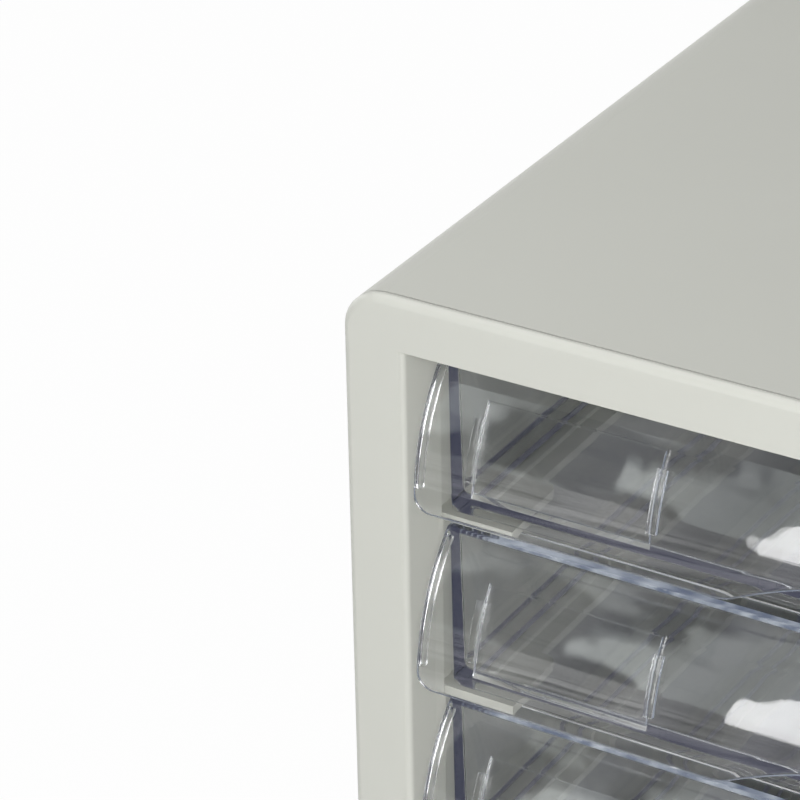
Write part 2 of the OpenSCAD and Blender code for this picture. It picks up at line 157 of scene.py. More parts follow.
clearLook = {
    "ior": 1.58,                   # clear polystyrene
    "roughness": (0.006, 0.018),   # from the hollows to the crests of the ripple
    "tint": (0.48, 0.53, 0.72),    # colour that long paths inside the plastic take on
    "depth": 10.0,                 # absorption per metre
    "lamps": (0.926, 0.929, 0.928), # share of lamp light that one surface lets by
    "paintedGlow": (10, 13),             # bounces between which the painted glow takes over, standing in for light led along inside
    "paintedGlowLow": (0.17, 0.20, 0.26),       # painted glow, in streaks along the front edges
    "paintedGlowHigh": (0.48, 0.52, 0.55),
    "paintedGlowDeep": (0.075, 0.078, 0.108),   # and weaker painted glow, without streaks, further back
    "paintedGlowEnd": (-0.147, -0.135),  # y, in metres, between which the painted glow's streaks die away
    "paintedGlowStreaks": (260, 0.42, 0.62),  # cycles per metre along x, start and end of the noise's rise
    "paintedGlowStretch": (1, 0.1, 0.1),
    "ripple": (70, 0.35, 0.00012), # waviness of the faces: cycles per metre, strength, height in metres
}


# Clear plastic that takes its tint from the depth of plastic looked through.
# Light on its way from the lamps to what stands behind passes it straight, only weakened.
# Where a ray has bounced many times inside a wall, the plastic shows a painted glow instead: emission
# that stands in for the light led along inside and shown at the edges, stronger in front.
def clearPlastic(name, look):
    material, tree, shader = newMaterial(name)
    output = tree.nodes["Material Output"]
    shader.inputs["Base Color"].default_value = (1, 1, 1, 1)
    shader.inputs["Transmission Weight"].default_value = 1
    shader.inputs["IOR"].default_value = look["ior"]
    scale, strength, height = look["ripple"]
    ripple = noiseOn(tree, scale, 1)
    bumpOn(tree, shader, ripple, strength, height)
    tree.links.new(mapped(tree, ripple, *look["roughness"]), shader.inputs["Roughness"])
    path = tree.nodes.new("ShaderNodeLightPath")
    through = addNode(tree, "ShaderNodeBsdfTransparent", Color=(*look["lamps"], 1))
    mix = tree.nodes.new("ShaderNodeMixShader")
    lampLight = either(tree, path.outputs["Is Shadow Ray"], path.outputs["Is Diffuse Ray"])
    tree.links.new(lampLight, mix.inputs["Fac"])
    place = tree.nodes.new("ShaderNodeTexCoord")
    parts = tree.nodes.new("ShaderNodeSeparateXYZ")
    tree.links.new(place.outputs["Object"], parts.inputs[0])
    # painted glow: an emission that stands in for light led along inside the plastic
    glow = addNode(tree, "ShaderNodeEmission", Strength=1.0)
    scale, start, end = look["paintedGlowStreaks"]
    noise = noiseOn(tree, scale, 1, look["paintedGlowStretch"])
    paintedGlowStreaks = ramp(tree, noise, look["paintedGlowLow"], look["paintedGlowHigh"], start, end)
    deeper = tree.nodes.new("ShaderNodeMix")
    deeper.data_type = "RGBA"
    tree.links.new(mapped(tree, parts.outputs["Y"], 0, 1, *look["paintedGlowEnd"]), deeper.inputs["Factor"])
    tree.links.new(paintedGlowStreaks, deeper.inputs["A"])
    deeper.inputs["B"].default_value = (*look["paintedGlowDeep"], 1)
    tree.links.new(deeper.outputs["Result"], glow.inputs["Color"])
    # past the given bounces, the painted glow takes the place of the clear shader
    paintedGlow = tree.nodes.new("ShaderNodeMixShader")
    tree.links.new(mapped(tree, path.outputs["Ray Depth"], 0, 1, *look["paintedGlow"]), paintedGlow.inputs["Fac"])
    tree.links.new(shader.outputs["BSDF"], paintedGlow.inputs[1])
    tree.links.new(glow.outputs["Emission"], paintedGlow.inputs[2])
    material.cycles.emission_sampling = "NONE"
    tree.links.new(paintedGlow.outputs["Shader"], mix.inputs[1])
    tree.links.new(through.outputs["BSDF"], mix.inputs[2])
    tree.links.new(mix.outputs["Shader"], output.inputs["Surface"])
    tint = (*look["tint"], 1)
    inside = addNode(tree, "ShaderNodeVolumeAbsorption", Color=tint, Density=look["depth"])
    tree.links.new(inside.outputs["Volume"], output.inputs["Volume"])
    return material


rubberLook = {"grain": (900, 3), "low": (0.030, 0.030, 0.031), "high": (0.05, 0.05, 0.05),
              "roughness": (0.7, 0.9), "relief": (0.3, 0.0001)}
steelLook = {"grain": (1500, 2), "low": (0.50, 0.51, 0.54), "high": (0.62, 0.62, 0.63),
             "roughness": (0.28, 0.42)}


def mattRubber(name, look):
    material, tree, shader = newMaterial(name)
    grain = noiseOn(tree, *look["grain"])
    tree.links.new(ramp(tree, grain, look["low"], look["high"]), shader.inputs["Base Color"])
    tree.links.new(mapped(tree, grain, *look["roughness"]), shader.inputs["Roughness"])
    bumpOn(tree, shader, grain, *look["relief"])
    return material


def platedSteel(name, look):
    material, tree, shader = newMaterial(name)
    shader.inputs["Metallic"].default_value = 1
    grain = noiseOn(tree, *look["grain"])
    tree.links.new(ramp(tree, grain, look["low"], look["high"]), shader.inputs["Base Color"])
    tree.links.new(mapped(tree, grain, *look["roughness"]), shader.inputs["Roughness"])
    return material


opaque = {                         # colour and roughness
    "casingPlastic": ((0.630, 0.637, 0.585), 0.42),
    "basePlastic": ((0.600, 0.606, 0.556), 0.48),
    "linerPlastic": ((0.560, 0.566, 0.520), 0.40),
}
casingPlastic, basePlastic, linerPlastic = (
    mouldedPlastic(name, colour, roughness, mouldLook) for name, (colour, roughness) in opaque.items())
clearDrawer = clearPlastic("clearDrawer", clearLook)
clearCover = clearPlastic("clearCover", {**clearLook, "depth": 4.0})
screwSteel = platedSteel("screwSteel", steelLook)
finishes = {
    "casing_shell": casingPlastic, "front_frame": casingPlastic,
    "base_tray": basePlastic, "back_panel": basePlastic, "runner_panel": linerPlastic,
    "foot": mattRubber("footRubber", rubberLook), "base_screws": screwSteel, "back_screws": screwSteel,
    "drawer": clearDrawer, "label_cover": clearCover,
}
for name, node in nodes.items():
    kind = next(k for k in finishes if name.startswith(k))
    node.data.materials.clear()
    node.data.materials.append(finishes[kind])
print("materials set")


# A closed skin over a grid of points in millimetres: each row is a ring, and the end rows are capped.
# The sum of the wedges (b x c) . a under half of each quad has the sign of the volume; where it is
# negative, the rings turn round.
def skinOf(name, grid):
    rows, columns = grid.shape[:2]
    side = np.roll(grid, -1, axis=1)
    a, b, c = grid[:-1], side[:-1], side[1:]
    if (np.cross(b - grid[0, 0], c - grid[0, 0]) * (a - grid[0, 0])).sum() < 0:
        grid = grid[:, ::-1]
    index = np.arange(rows * columns).reshape(rows, columns)
    beside = np.roll(index, -1, axis=1)
    quads = np.stack([index[:-1], beside[:-1], beside[1:], index[1:]], -1).reshape(-1, 4)
    caps = [index[0][::-1].tolist(), index[-1].tolist()]
    mesh = bpy.data.meshes.new(name)
    mesh.from_pydata((grid.reshape(-1, 3) * mm).tolist(), [], quads.tolist() + caps)
    piece = bpy.data.objects.new(name, mesh)
    bpy.context.scene.collection.objects.link(piece)
    return piece


# Rings round a rectangle with round corners, one per row of half width, front, rear, front radius,
# rear radius, height at the ends and height along the sides. A corner's point is its centre plus
# the radius times (cos turn, sin turn). The height is endZ + (sideZ - endZ) (cos turn)^2.
def plateRings(rows, steps=8):
    columns = (v[:, None, None] for v in np.asarray(rows, float).T)
    half, front, rear, frontRadius, rearRadius, endZ, sideZ = columns
    turn = np.radians(np.array([0, 90, 180, 270])[:, None] + np.linspace(0, 90, steps + 1))
    right = np.array([1, -1, -1, 1])[:, None]
    behind = np.array([True, True, False, False])[:, None]
    radius = np.where(behind, rearRadius, frontRadius)
    x = right * (half - radius) + radius * np.cos(turn)
    y = np.where(behind, rear - radius, front + radius) + radius * np.sin(turn)
    z = endZ + (sideZ - endZ) * np.cos(turn) ** 2
    return np.stack([v.reshape(len(half), -1) for v in (x, y, z)], -1)


# Rows of a block with one rounding along its upper and lower edges: r (1 - sin t) from its side,
# r (1 - cos t) from its end, for t from 0 to a quarter turn
def blockRows(half, front, rear, low, high, rounding, corner, steps=4):
    t = np.radians(np.linspace(0, 90, steps + 1))
    inset = rounding * np.concatenate([1 - np.sin(t), 1 - np.cos(t)])
    z = np.concatenate([low + rounding * (1 - np.cos(t)), high - rounding * (1 - np.sin(t))])
    same = 0 * z
    return np.stack([half - inset, front + inset, rear - inset, corner + same, corner + same, z, z], 1)


drawerLook = {                # millimetres, y from the frame's face, z from the drawer's top edge
    "half": 116.6, "front": 16.6, "rear": 325.8, "wall": 1.8, "height": 41.4, "cavity": 37.2,
    "lean": 0.6, "cavityLean": 1.2,                   # how much each side narrows on its way down
    "sideCorner": 4.0, "endCorner": 0.6,              # lower outer corners, along sides and ends
    "sideCove": 3.0, "endCove": 1.2,                  # the same inside
    "frontTurn": 0.9, "rearTurn": 6.0,                # upright corners
    "innerFrontTurn": 1.0, "innerRearTurn": 4.2,
    "rim": 0.35, "hair": 0.015,                       # the hair keeps faces of joined solids apart
    "skirt": 111.7, "floorUnder": 39.2,
    "land": 5.0, "landDrop": 1.4,
    "tabOuter": 118.4, "tabInner": 115.0, "tabFront": 245.8,
    "tabLength": 7.0, "tabDrop": 3.0, "tabHeight": 6.0, "tabRound": 0.3, "tabCorner": 0.4,
    "hollowPast": 9.0,                                # how far the block cut out below stands out
    "hollowRound": 0.5, "hollowCorner": 1.2,
    "landBefore": 0.6, "landRound": 0.2, "landCorner": 0.3,
}


# Open tray: its rows go up the outer wall, over the rim, and down the inner wall to the floor.
# Each rounding takes r (1 - sin t) off the width and r (1 - cos t) off the height, or the other way
# round at the rim and in the coves. A side wall stands at half + lean z / drop.
def trayGrid(look):
    wide, fine = (np.radians(np.linspace(0, 90, n)) for n in (7, 4))

    def band(half, lean, drop, front, rear, frontTurn, rearTurn, sideIn, endIn, sideZ, endZ):
        same = 0 * sideZ
        return np.stack([half + lean * sideZ / drop - sideIn, front + endIn, rear - endIn,
                         frontTurn + same, rearTurn - endIn, endZ, sideZ], 1)

    outer = (look["half"], look["lean"], look["height"], look["front"], look["rear"],
             look["frontTurn"], look["rearTurn"])
    inner = (look["half"] - look["wall"], look["cavityLean"], look["cavity"],
             look["front"] + look["wall"], look["rear"] - look["wall"],
             look["innerFrontTurn"], look["innerRearTurn"])
    rim, top = look["rim"], -2 * look["hair"]
    corner = [look[k] * (1 - np.sin(wide)) for k in ("sideCorner", "endCorner")]
    cornerZ = [look[k] * (1 - np.cos(wide)) - look["height"] for k in ("sideCorner", "endCorner")]
    cove = [look[k] * (1 - np.cos(wide)) for k in ("sideCove", "endCove")]
    coveZ = [look[k] * (1 - np.sin(wide)) - look["cavity"] for k in ("sideCove", "endCove")]
    over, overZ = rim * (1 - np.cos(fine)), top - rim * (1 - np.sin(fine))
    back, backZ = over[::-1], overZ[::-1]
    return plateRings(np.concatenate([
        band(*outer, *corner, *cornerZ), band(*outer, over, over, overZ, overZ),
        band(*inner, -back, -back, backZ, backZ), band(*inner, *cove, *coveZ)]))


hoodLook = {                  # a wall round a level axis, its section between the top edge and the lip
    "half": 116.7, "axis": 43.81, "drop": 31.4, "radius": 42.01, "wall": 1.4, "lip": 34.3,
    "corner": 4.0, "edge": 0.35, "root": 0.3, "reach": 18.2,
    "scoopHalf": 42.5, "scoopRise": 11.5, "scoopBlend": 0.8,
    "label": (-102.5, -60.1), "labelTurn": (7.23, 35.27), "labelDepth": 0.8, "labelStep": 0.06,
    "inWall": 1.1, "inWallDrop": 1.2,                 # how far the section goes into the front wall
    "scoopColumns": (-48, 48, 61), "flatColumns": (50, 6),       # x: from, to, count; from, step
    "rows": (-2, 47, 1.75), "still": (14, 37),        # degrees; rows between these two keep their turn
}


# Height of the lip at x: level, rising on the scoop's arc and round the two lower corners. The arc
# s = rise - r + sqrt(r^2 - x^2) meets the level part softly as (s + sqrt(s^2 + blend^2)) / 2; a corner
# is c - sqrt(c^2 - past^2), with past measured from where the corner starts.
def lipHeight(x, look):
    half, rise = look["scoopHalf"], look["scoopRise"]
    r = (half ** 2 + rise ** 2) / (2 * rise)
    scoop = rise - r + np.sqrt(np.maximum(r ** 2 - x ** 2, 0))
    soft = (scoop + np.sqrt(scoop ** 2 + look["scoopBlend"] ** 2)) / 2
    past = np.clip(np.abs(x) - look["half"] + look["corner"], 0, look["corner"])
    return np.maximum(soft, look["corner"] - np.sqrt(look["corner"] ** 2 - past ** 2)) - look["lip"]


# Round bend from a to b past a corner c: (1 - t)^2 a + 2 t (1 - t) c + t^2 b, without its last point
def bend(a, c, b, steps=4):
    t = np.arange(steps)[None, :, None] / steps
    a, b, c = a[:, None], b[:, None], c[:, None]
    return (1 - t) ** 2 * a + 2 * t * (1 - t) * c + t ** 2 * b


# Points round the hood's level axis: (axis - r cos turn, r sin turn - drop)
def roundAxis(r, turn, look):
    return np.stack([look["axis"] - r * np.cos(turn), r * np.sin(turn) - look["drop"]], -1)


# Hood: its section is a ring in y and z that goes down the outer arc, round the lip, up the inner arc
# and through a cove into the front wall. The ring is carried along x, its lip and insets set by x.
# Rows between the still turns stay level; those above spread evenly to the crease, those below to the
# lip. The cove's circle touches the inner arc and the wall. The outer arc is sunk where the label sits.
def hoodGrid(look, wallFace, hair):
    half, edge, corner = look["half"], look["edge"], look["corner"]
    quarter = np.radians(np.linspace(0, 90, 6))
    roundEnd = half - corner + corner * np.sin(np.arcsin(1 - edge / corner) * np.linspace(0, 1, 9))
    roundEdge = half - edge + edge * np.sin(quarter[1:])
    flatFrom, flatStep = look["flatColumns"]
    right = np.concatenate([np.arange(flatFrom, half - corner, flatStep), roundEnd, roundEdge])
    steps = np.array(look["label"])[:, None] + look["labelStep"] * np.array([-0.5, 0.5])
    x = np.concatenate([-right, np.linspace(*look["scoopColumns"]), right, steps.ravel()])
    x = np.unique(np.round(x, 5))
    past = np.clip(np.abs(x) - half + edge, 0, edge)
    inset = (edge - np.sqrt(edge ** 2 - past ** 2))[:, None]
    outerR, innerR = look["radius"] - inset, look["radius"] - look["wall"] + inset
    lip = lipHeight(x, look)[:, None] + inset

    creaseTurn, lipTurn, innerLip = (np.arcsin(z / r) for z, r in (
        (look["drop"] - inset, outerR), (look["drop"] + lip, outerR), (look["drop"] + lip, innerR)))
    turnStep = np.degrees(look["labelStep"] / look["radius"])
    marks = np.array(look["labelTurn"])[:, None] + turnStep * np.array([-0.5, 0.5])
    base = np.radians(np.unique(np.concatenate([np.arange(*look["rows"]), marks.ravel()]))[::-1])
    lower, upper = (np.radians(v) for v in look["still"])
    first, last = creaseTurn - edge / outerR, lipTurn + edge / outerR
    high, low = np.median(first), np.median(last)
    apart = 0.01                                                 # radians
    base = np.concatenate([[high], base[(base < high - apart) & (base > low + apart)], [low]])
    turn = upper + (base - upper) * (first - upper) / (base[0] - upper)
    turn = np.where(base > upper, turn, base + 0 * inset)
    turn = np.where(base < lower, lower + (base - lower) * (lower - last) / (lower - base[-1]), turn)
    inLabel = (x > look["label"][0]) & (x < look["label"][1])
    deep = np.degrees(turn) - np.array(look["labelTurn"])[:, None, None]
    sunk = look["labelDepth"] * inLabel[:, None] * ((deep[0] > 0) & (deep[1] < 0))
    outer = roundAxis(outerR - sunk, turn, look)

    dy = look["axis"] - wallFace - hair + look["root"]
    dz = np.sqrt((innerR - look["root"]) ** 2 - dy ** 2)
    rootTurn = np.arctan2(dz, dy)
    innerFirst = innerLip + edge / innerR
    inner = roundAxis(innerR, innerFirst + (rootTurn - innerFirst) * np.linspace(0, 1, 26), look)
    swing = (math.pi - rootTurn) * np.linspace(1, 0, 9)[1:]
    middle = np.stack([look["axis"] - dy + 0 * dz, dz - look["drop"]], -1)
    cove = middle + look["root"] * np.stack([np.cos(swing), np.sin(swing)], -1)

    def at(y, z):
        return np.stack([y + 0 * inset[:, 0], z + 0 * inset[:, 0]], -1)

    crease = roundAxis(outerR, creaseTurn, look)[:, 0]
    outerLip = roundAxis(outerR, lipTurn, look)[:, 0]
    innerLipPoint = roundAxis(innerR, innerLip, look)[:, 0]
    back = np.array([edge, 0])
    inWall = [at(wallFace + look["inWall"], cove[:, -1, 1])[:, None],
              at(look["reach"], -look["inWallDrop"])[:, None], at(look["reach"], -inset[:, 0])[:, None]]
    ring = np.concatenate([
        bend(crease + back, crease, outer[:, 0]), outer,
        bend(outer[:, -1], outerLip, outerLip + back)[:, 1:], (outerLip + back)[:, None],
        bend(innerLipPoint - back, innerLipPoint, inner[:, 0]), inner, cove, *inWall], axis=1)
    across = np.broadcast_to(x[:, None, None], ring.shape[:2] + (1,))
    return np.concatenate([across, ring], -1)


labelLook = {                 # the ends in x, the turn round the hood's axis and the pane's two radii
    "from": -102.2, "to": -60.4, "turn": (7.35, 34.7), "inner": 41.24, "outer": 41.9, "edge": 0.08,
}


# Label cover: a thin pane round the hood's axis, rounded by one small radius on every edge
def coverGrid(look, hood):
    edge = look["edge"]
    t = np.radians(np.linspace(0, 90, 4))
    along = edge * (1 - np.cos(t))
    x = np.concatenate([look["from"] + along, (look["to"] - along)[::-1]])
    inset = edge * np.concatenate([1 - np.sin(t), (1 - np.sin(t))[::-1]])[:, None]
    outerR, innerR = look["outer"] - inset, look["inner"] + inset
    low, high = (np.radians(v) for v in look["turn"])
    low, high = low + inset / look["outer"], high - inset / look["outer"]
    part = np.linspace(0, 1, 19)
    short = edge / look["outer"]
    outer = roundAxis(outerR, high - short - (high - low - 2 * short) * part, hood)
    inner = roundAxis(innerR, low + short + (high - low - 2 * short) * part, hood)

    def spot(r, turn):
        return roundAxis(r, turn, hood)[:, 0]

    lowOut, lowIn = spot(outerR - edge, low), spot(innerR + edge, low)
    highOut, highIn = spot(outerR - edge, high), spot(innerR + edge, high)
    ring = np.concatenate([
        outer, bend(outer[:, -1], spot(outerR, low), lowOut, 3)[:, 1:], lowOut[:, None],
        bend(lowIn, spot(innerR, low), inner[:, 0], 3),
        inner, bend(inner[:, -1], spot(innerR, high), highIn, 3)[:, 1:], highIn[:, None],
        bend(highOut, spot(outerR, high), outer[:, 0], 3)], axis=1)
    across = np.broadcast_to(x[:, None, None], ring.shape[:2] + (1,))
    return np.concatenate([across, ring], -1)


clipLook = {                  # foot, under and top are radii round the hood's axis
    "turn": (10.94, 29.5), "foot": 41.0, "under": 41.96, "top": 43.11,
    "width": 1.5, "lip": 0.8, "edge": 0.3,
}


# Clip that reaches over one side of the label cover: an angled profile in x and r, carried round
# the hood's axis. Its two upper edges are rounded by e (1 - cos t) across and e (1 - sin t) down.
def clipGrid(look, hood, edgeX, side):
    reach, e = look["width"] + look["lip"], look["edge"]
    turn = np.radians(np.linspace(0, 90, 4))
    rise, fall = e * (1 - np.cos(turn)), e * (1 - np.sin(turn))
    first = np.stack([rise, look["top"] - fall], 1)
    tip = np.stack([reach - rise[::-1], look["top"] - fall[::-1]], 1)
    under = [[reach, look["under"]], [look["width"], look["under"]], [look["width"], look["foot"]]]
    profile = np.concatenate([[[0, look["foot"]]], first, tip, under])
    swing = np.radians(np.linspace(*look["turn"], 13))[:, None]
    around = roundAxis(profile[:, 1] + 0 * swing, swing, hood)
    across = np.broadcast_to((edgeX + side * profile[:, 0])[None, :, None], around.shape[:2] + (1,))
    return np.concatenate([across, around], -1)


endRibLook = {                # the turn round the hood's axis, depth under the wall, width along x
    "turn": (3.5, 46.0), "depth": 1.8, "width": 1.3, "inset": 0.15, "edge": 0.3, "root": 0.5,
}


# Rib under each end of the hood: a profile in x and r, carried round the hood's axis. Its two free
# edges are rounded by e (1 - sin t) across and e (1 - cos t) up.
def endRibGrid(look, hood, side):
    e, outside, face = look["edge"], hood["half"] - look["inset"], hood["radius"] - hood["wall"]
    inside, tip, root = outside - look["width"], face - look["depth"], face + look["root"]
    turn = np.radians(np.linspace(0, 90, 4))
    rise, fall = e * (1 - np.cos(turn)), e * (1 - np.sin(turn))
    first = np.stack([outside - fall[::-1], tip + rise[::-1]], 1)
    last = np.stack([inside + fall, tip + rise], 1)
    profile = np.concatenate([[[outside, root]], first, last, [[inside, root]]])
    swing = np.radians(np.linspace(*look["turn"], 25))[:, None]
    around = roundAxis(profile[:, 1] + 0 * swing, swing, hood)
    across = np.broadcast_to((side * profile[:, 0])[None, :, None], around.shape[:2] + (1,))
    return np.concatenate([across, around], -1)


# One solid from two: the union of both, or the first without the second
def combine(piece, other, how="UNION"):
    step = piece.modifiers.new("combine", "BOOLEAN")
    step.operation, step.solver, step.object = how, "EXACT", other
    made = bpy.data.meshes.new_from_object(piece.evaluated_get(bpy.context.evaluated_depsgraph_get()))
    piece.modifiers.clear()
    piece.data = made
    bpy.data.objects.remove(other)


crispAngle = 32               # degrees


# Puts a finished piece in place: faces shade smoothly, edges sharper than crispAngle stay crisp
def finishPiece(piece, name, place, material, body, replaced):
    mesh = piece.data.copy()
    mesh.transform(Matrix.Translation(place))
    mesh.materials.clear()
    mesh.materials.append(material)
    mesh.shade_smooth()
    mesh.set_sharp_from_angle(angle=math.radians(crispAngle))
    made = bpy.data.objects.new(name, mesh)
    bpy.context.scene.collection.objects.link(made)
    made.modifiers.new("evenShade", "WEIGHTED_NORMAL").keep_sharp = True
    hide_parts(replaced)
    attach(made, body)


# One drawer: the tray, less the hollow in its skirt, with the hood, land, clips, tabs and end ribs
def makeDrawer(look, hood, clip, endRib):
    tray = skinOf("tray", trayGrid(look))
    past = look["hollowPast"]
    hollow = blockRows(look["skirt"], look["front"] + look["wall"], look["rear"] + past,
                       -look["height"] - past, -look["floorUnder"],
                       look["hollowRound"], look["hollowCorner"])
    combine(tray, skinOf("skirtHollow", plateRings(hollow)), "DIFFERENCE")
    combine(tray, skinOf("hood", hoodGrid(hood, look["front"], look["hair"])))
    land = blockRows(look["half"] - look["wall"] / 2, look["front"] - look["landBefore"],
                     look["front"] + look["land"], -look["landDrop"], -look["hair"],
                     look["landRound"], look["landCorner"])
    combine(tray, skinOf("land", plateRings(land)))
    labelFrom, labelTo = hood["label"]
    for side, edgeX in ((1, labelFrom - clip["width"]), (-1, labelTo + clip["width"])):
        combine(tray, skinOf("clip", clipGrid(clip, hood, edgeX, side)))
    tabRear, tabLow = look["tabFront"] + look["tabLength"], -look["tabDrop"] - look["tabHeight"]
    tab = blockRows((look["tabOuter"] - look["tabInner"]) / 2, look["tabFront"], tabRear,
                    tabLow, -look["tabDrop"], look["tabRound"], look["tabCorner"])
    for side in (-1, 1):
        middle = side * (look["tabOuter"] + look["tabInner"]) / 2
        combine(tray, skinOf("tab", plateRings(tab) + np.array([middle, 0, 0])))
        combine(tray, skinOf("endRib", endRibGrid(endRib, hood, side)))
    return tray


cornerLook = {                # millimetres from the corner's centre
    "radius": 13.5, "tight": 9.8,
    "still": 6.0, "wall": 10.0,                       # in between, points move in part
    "chord": 0.13,                                    # how far an arc's chord may lie inside it
    "cuts": 4.5,                                      # degrees from one cut to the next
    "past": 0.1,                                      # faces that are cut reach this far past it
    "apart": 1e-6,                                    # metres; points nearer than this are one
}
shapedNodes = {"casing_shell": "wrap", "front_frame": "frontFrame",
               "base_tray": "base", "back_panel": "backPanel"}


# Tighter long corners: a point at (u, v) from a corner's centre moves out along its own ray by as much
# as the outline does, from the wide radius R to the tight one r. The ray c meets the flat at
# R / max(c), or the arc round k = (R - r)(1, 1) at c.k + sqrt((c.k)^2 - k.k + r^2). Between still and
# wall the step is taken by a share s^2 (3 - 2 s), and nearer the centre not at all.
def tightenCorners(points, look, half, low, high):
    wide, tight = look["radius"], look["tight"]
    x, z = points[:, 0], points[:, 2]
    top = z > (low + high) / 2
    u, v = np.abs(x) - half + wide, np.where(top, z - high + wide, low + wide - z)
    inCorner = (u > 0) & (v > 0)
    r = np.where(inCorner, np.hypot(u, v), 1)
    cu, cv = np.where(inCorner, u / r, 1), np.where(inCorner, v / r, 0)
    along = (wide - tight) * (cu + cv)
    arc = along + np.sqrt(np.maximum(along ** 2 - 2 * (wide - tight) ** 2 + tight ** 2, 0))
    longer, shorter = np.maximum(cu, cv), np.minimum(cu, cv)
    outline = np.where(shorter / longer * wide <= wide - tight, wide / longer, arc)
    r = np.where((r > wide - look["chord"]) & (r < wide), wide, r)
    share = np.clip((r - look["still"]) / (look["wall"] - look["still"]), 0, 1)
    step = np.where(inCorner, (outline - wide) * share ** 2 * (3 - 2 * share), 0)
    moved, across, up = points.copy(), cu * (r + step), cv * (r + step)
    moved[:, 0] = np.where(inCorner, np.sign(x) * (half - wide + across), x)
    moved[:, 2] = np.where(inCorner, np.where(top, high - wide + up, low + wide - up), z)
    return moved


# Cuts a mesh along planes through the corners' level axes, so that the outline has points to move
def cutCorners(mesh, look, half, low, high):
    wide, reach = look["radius"], look["still"]
    for side, z, up in ((s, z, up) for s in (-1, 1) for z, up in ((low + wide, -1), (high - wide, 1))):
        centre = Vector((side * (half - wide) * mm, 0, z * mm))
        for turn in np.radians(np.arange(look["cuts"], 90, look["cuts"])):
            faces = [f for f in mesh.faces
                     if max((v.co.x - centre.x) * side for v in f.verts) > reach * mm
                     and max((v.co.z - centre.z) * up for v in f.verts) > look["past"] * mm]
            around = {e for f in faces for e in f.edges} | {v for f in faces for v in f.verts}
            bmesh.ops.bisect_plane(mesh, geom=list(faces) + list(around), plane_co=centre,
                                   plane_no=(-side * math.sin(turn), 0, up * math.cos(turn)),
                                   dist=look["apart"])


wrapEnd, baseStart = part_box("casing_shell")[1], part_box("base_tray")[0]
outline = (wrapEnd.x / mm, baseStart.z / mm, wrapEnd.z / mm)      # half width, underside and top
for name, title in shapedNodes.items():
    skin = bpy.data.meshes.new_from_object(nodes[name])
    merged = bmesh.new()
    merged.from_mesh(skin)
    bmesh.ops.remove_doubles(merged, verts=merged.verts, dist=cornerLook["apart"])
    cutCorners(merged, cornerLook, *outline)
    merged.to_mesh(skin)
    merged.free()
    points = np.empty(3 * len(skin.vertices))
    skin.vertices.foreach_get("co", points)
    points = tightenCorners(points.reshape(-1, 3) / mm, cornerLook, *outline) * mm
    skin.vertices.foreach_set("co", points.ravel())
    piece = bpy.data.objects.new(name + "Skin", skin)
    material = casingPlastic if name in ("casing_shell", "front_frame") else basePlastic
    finishPiece(piece, title, (0, 0, 0), material, "casing", name)
    bpy.data.objects.remove(piece)
print("corners tightened")

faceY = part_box("front_frame")[0].y
drawerSolid = makeDrawer(drawerLook, hoodLook, clipLook, endRibLook)
coverSolid = skinOf("cover", coverGrid(labelLook, hoodLook))
drawerNames = sorted(n for n in nodes if n.startswith("drawer_"))
for name in drawerNames:
    number = name.split("_")[1]
    place = Vector((0, faceY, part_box(name)[1].z))
    body = name + "_body"
    finishPiece(drawerSolid, "clearTray" + number, place, clearDrawer, body, name)
    finishPiece(coverSolid, "labelPane" + number, place, clearCover, body,
                "label_cover_" + number)
bpy.data.objects.remove(drawerSolid)
bpy.data.objects.remove(coverSolid)
print("drawers made:", len(drawerNames))


studio = {
    "floorSize": 40.0,
    "floorColour": (0.80, 0.80, 0.80),
    "floorGlow": 0.975,               # share of plain white that eyes see in the floor
    "frontGlow": (0.08, 0.75),        # what mirrors and glass see in it in front, in patches
    "frontEnd": (-0.4, 0.2),          # y between which that turns to plain white
    "floorPatch": (14, 1.0, 1),       # patches per metre, along x, y and z
    "floorPatchRise": (0.43, 0.56),   # start and end of the noise's rise
    "floorRoughness": 0.9,
    "floorSheen": 0.1,
    "skyLow": (1.0, 1.0, 1.0),        # seen in reflections, level and behind
    "skyHigh": (0.26, 0.26, 0.27),
    "skyRise": (0.05, 0.5),           # height of the view direction from skyLow to skyHigh
    "skyDark": (0.03, 0.03, 0.035),   # in front, behind the camera, with paler patches
    "skyPale": (1.1, 1.17, 1.14),
    "skyPatch": (26, 1.8, 1.8),
    "skyPatchRise": (0.46, 0.56),
    "skyFront": (-0.6, 0.3),          # y of the view direction from the patches to the plain sky
    "ambient": 0.18,
}
lamps = [                             # name, place, target, width, height, watts
    ("frontBox", (-0.457, -1.75, 0.50), (-0.457, 0, 0.50), 0.40, 0.76, 5.4),
    ("rightBox", (0.40, -0.80, 0.60), (-0.10, -0.17, 0.30), 0.40, 0.40, 4.1),
    ("topBox", (-0.38, -0.20, 1.00), (-0.22, -0.12, 0.30), 0.5, 0.5, 2.45),
    ("rightFill", (2.0, -0.75, 0.70), (0, 0, 0.20), 0.8, 0.8, 8),
    ("leftFill", (-2.0, 0.3, 0.70), (0, 0, 0.20), 0.8, 0.8, 7),
    ("backFill", (0.9, 2.0, 0.80), (0, 0, 0.20), 1.2, 1.2, 10),
]


